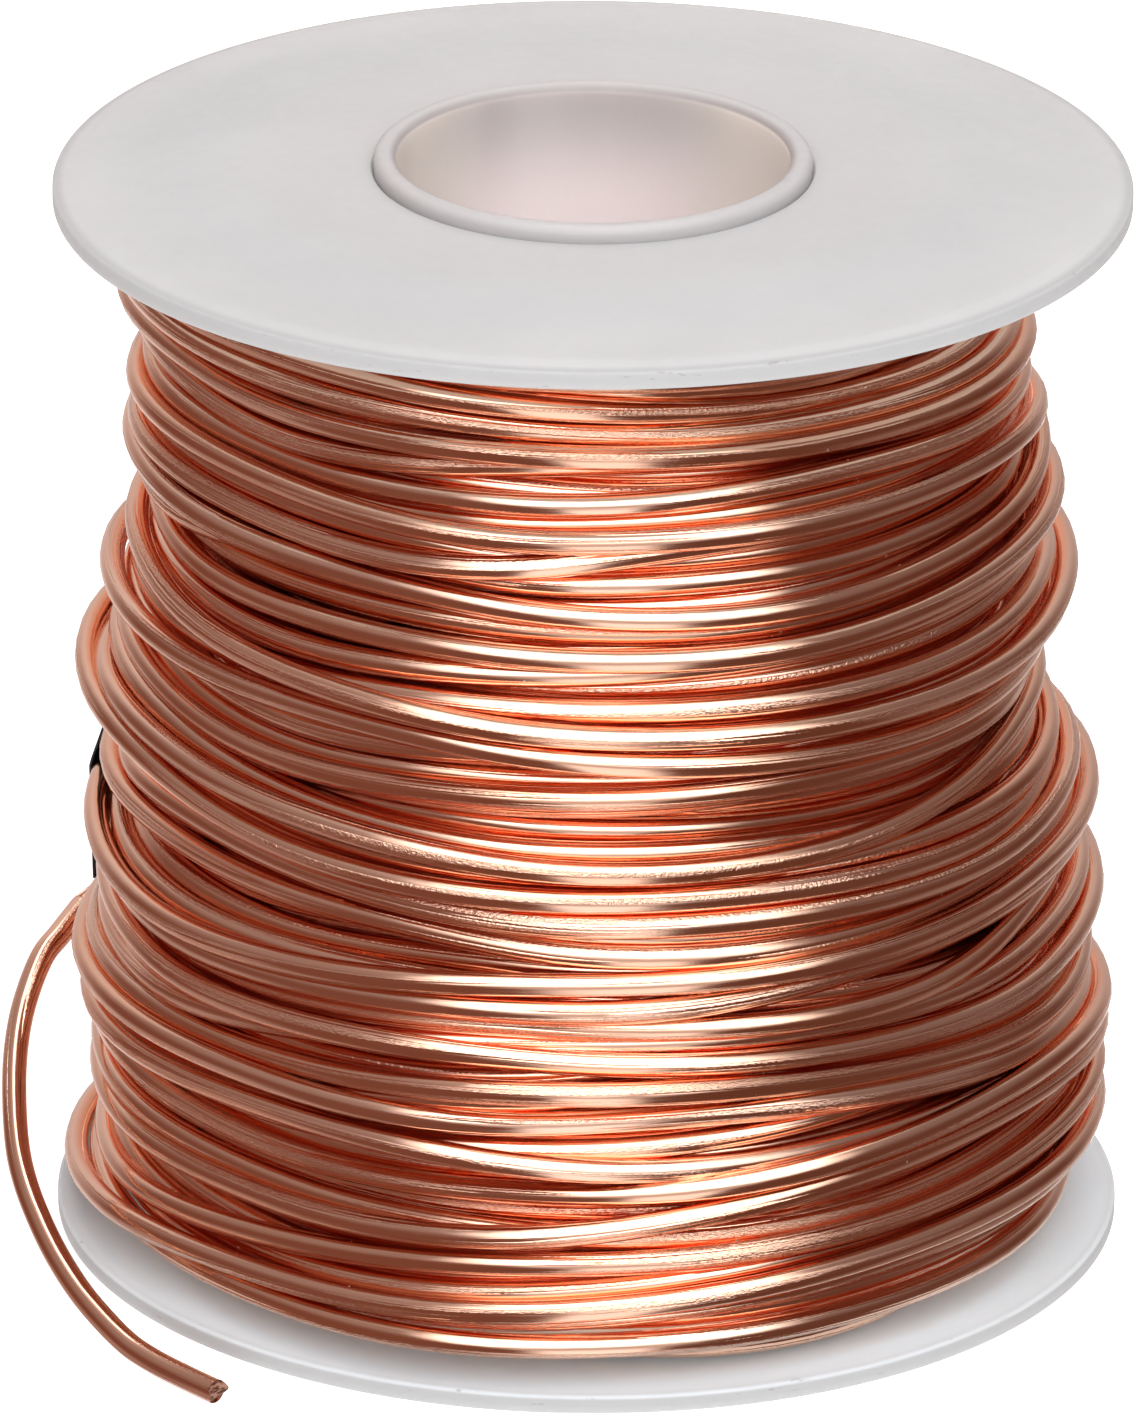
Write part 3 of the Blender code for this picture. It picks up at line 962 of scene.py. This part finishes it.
def softbox_light(nodes, pitch, sideways):
    """A softbox that arches from the front over the spool, and the table that it lights in front."""
    frontness = nodes.math("MAXIMUM", nodes.math("COSINE", pitch), 0.0)
    centre = nodes.plus(nodes.times(frontness, math.radians(KEY_FRONT_SHIFT)), math.radians(KEY_SHIFT))
    off_centre = nodes.math("ABSOLUTE", nodes.math("SUBTRACT", sideways, centre))
    widening = nodes.times(frontness, math.radians(KEY_FRONT_WIDENING))
    from_middle = nodes.math("SUBTRACT", pitch, math.radians(KEY_MIDDLE))
    along = nodes.math("DIVIDE", from_middle, math.radians(KEY_HALF_LENGTH))
    narrowing = nodes.math("SUBTRACT", KEY_ROUNDNESS, nodes.times(along, along))
    narrowing = nodes.math("MAXIMUM", narrowing, KEY_LEAST_WIDTH)
    half_width = nodes.times(nodes.plus(widening, math.radians(KEY_HALF_WIDTH)), narrowing)
    across = nodes.between(nodes.math("DIVIDE", off_centre, half_width), *KEY_SOFTNESS, 1.0, 0.0)
    arch = nodes.times(across, ramp(nodes, pitch, KEY_UPPER_EDGE, 1.0, 0.0))
    softbox = ramp(nodes, pitch, KEY_LOWER_EDGE, KEY_FOOT, KEY_LIGHT)
    table = ramp(nodes, pitch, GROUND_EDGE, GROUND_LIGHT - KEY_FOOT, 0.0)
    return nodes.times(arch, nodes.plus(softbox, table))


def add_world():
    """A studio: an arched softbox, a bright table, dim warm walls and a pale back wall."""
    world = bpy.data.worlds.new("studio")
    bpy.context.scene.world = world
    world.use_nodes = True
    nodes = Nodes(world.node_tree)
    direction = nodes.add("ShaderNodeTexCoord").outputs["Generated"]
    x, y, z = nodes.add("ShaderNodeSeparateXYZ", {0: direction}).outputs
    front = nodes.times(y, -1.0)
    elevation = nodes.math("ARCSINE", z)
    turned_away = nodes.math("ABSOLUTE", nodes.math("ARCTAN2", x, front))
    key = softbox_light(nodes, nodes.math("ARCTAN2", z, front), nodes.math("ARCSINE", x))
    near_table = ramp(nodes, elevation, GROUND_EDGE, 1.0, 0.0)
    side_table = nodes.times(ramp(nodes, turned_away, SIDE_EDGE, 0.0, SIDE_GROUND), near_table)
    below_top = ramp(nodes, elevation, BACK_UPPER_EDGE, 1.0, 0.0)
    back_wall = nodes.times(ramp(nodes, turned_away, BACK_EDGE, 0.0, BACK_LIGHT), below_top)
    share = nodes.between(x, -SHARE_REACH, SHARE_REACH, LEFT_SHARE, RIGHT_SHARE)
    sides = nodes.times(nodes.plus(side_table, back_wall), share)
    ceiling = ramp(nodes, elevation, CEILING_EDGE, 0.0, CEILING_LIGHT)
    white_light = nodes.plus(key, nodes.plus(sides, ceiling))
    walls = nodes.mix(ramp(nodes, elevation, WALL_UPPER_EDGE, 0.0, 1.0), WALL_LOW_COLOUR, WALL_HIGH_COLOUR)
    walls = nodes.mix(1.0, walls, share, "MULTIPLY")
    background = nodes.tree.nodes["Background"]
    nodes.tree.links.new(nodes.mix(1.0, walls, white_light, "ADD"), background.inputs["Color"])
    background.inputs["Strength"].default_value = 1.0


def add_floor():
    mesh = bpy.data.meshes.new("floor")
    half = FLOOR_SIZE / 2
    corners = [(-half, -half, 0), (half, -half, 0), (half, half, 0), (-half, half, 0)]
    mesh.from_pydata(corners, [], [(0, 1, 2, 3)])
    floor = new_object("floor", mesh)
    floor.location.z = FLOOR_Z
    mesh.materials.append(floor_material())
    floor.visible_glossy = False


def build():
    copper = copper_material("bare_copper", PAINTED_REFLECTION_SHARE)
    plastic = plastic_material()
    wound = make_winding(copper)
    make_tail(copper_material("free_end_copper", 0.0), sheared_copper_material())
    make_tape(wound, tape_material())
    make_spool(plastic)
    add_camera()
    add_world()
    add_floor()
    scene = bpy.context.scene
    scene.view_settings.view_transform = "Standard"
    scene.cycles.max_bounces = 16
    scene.cycles.glossy_bounces = 12


build()
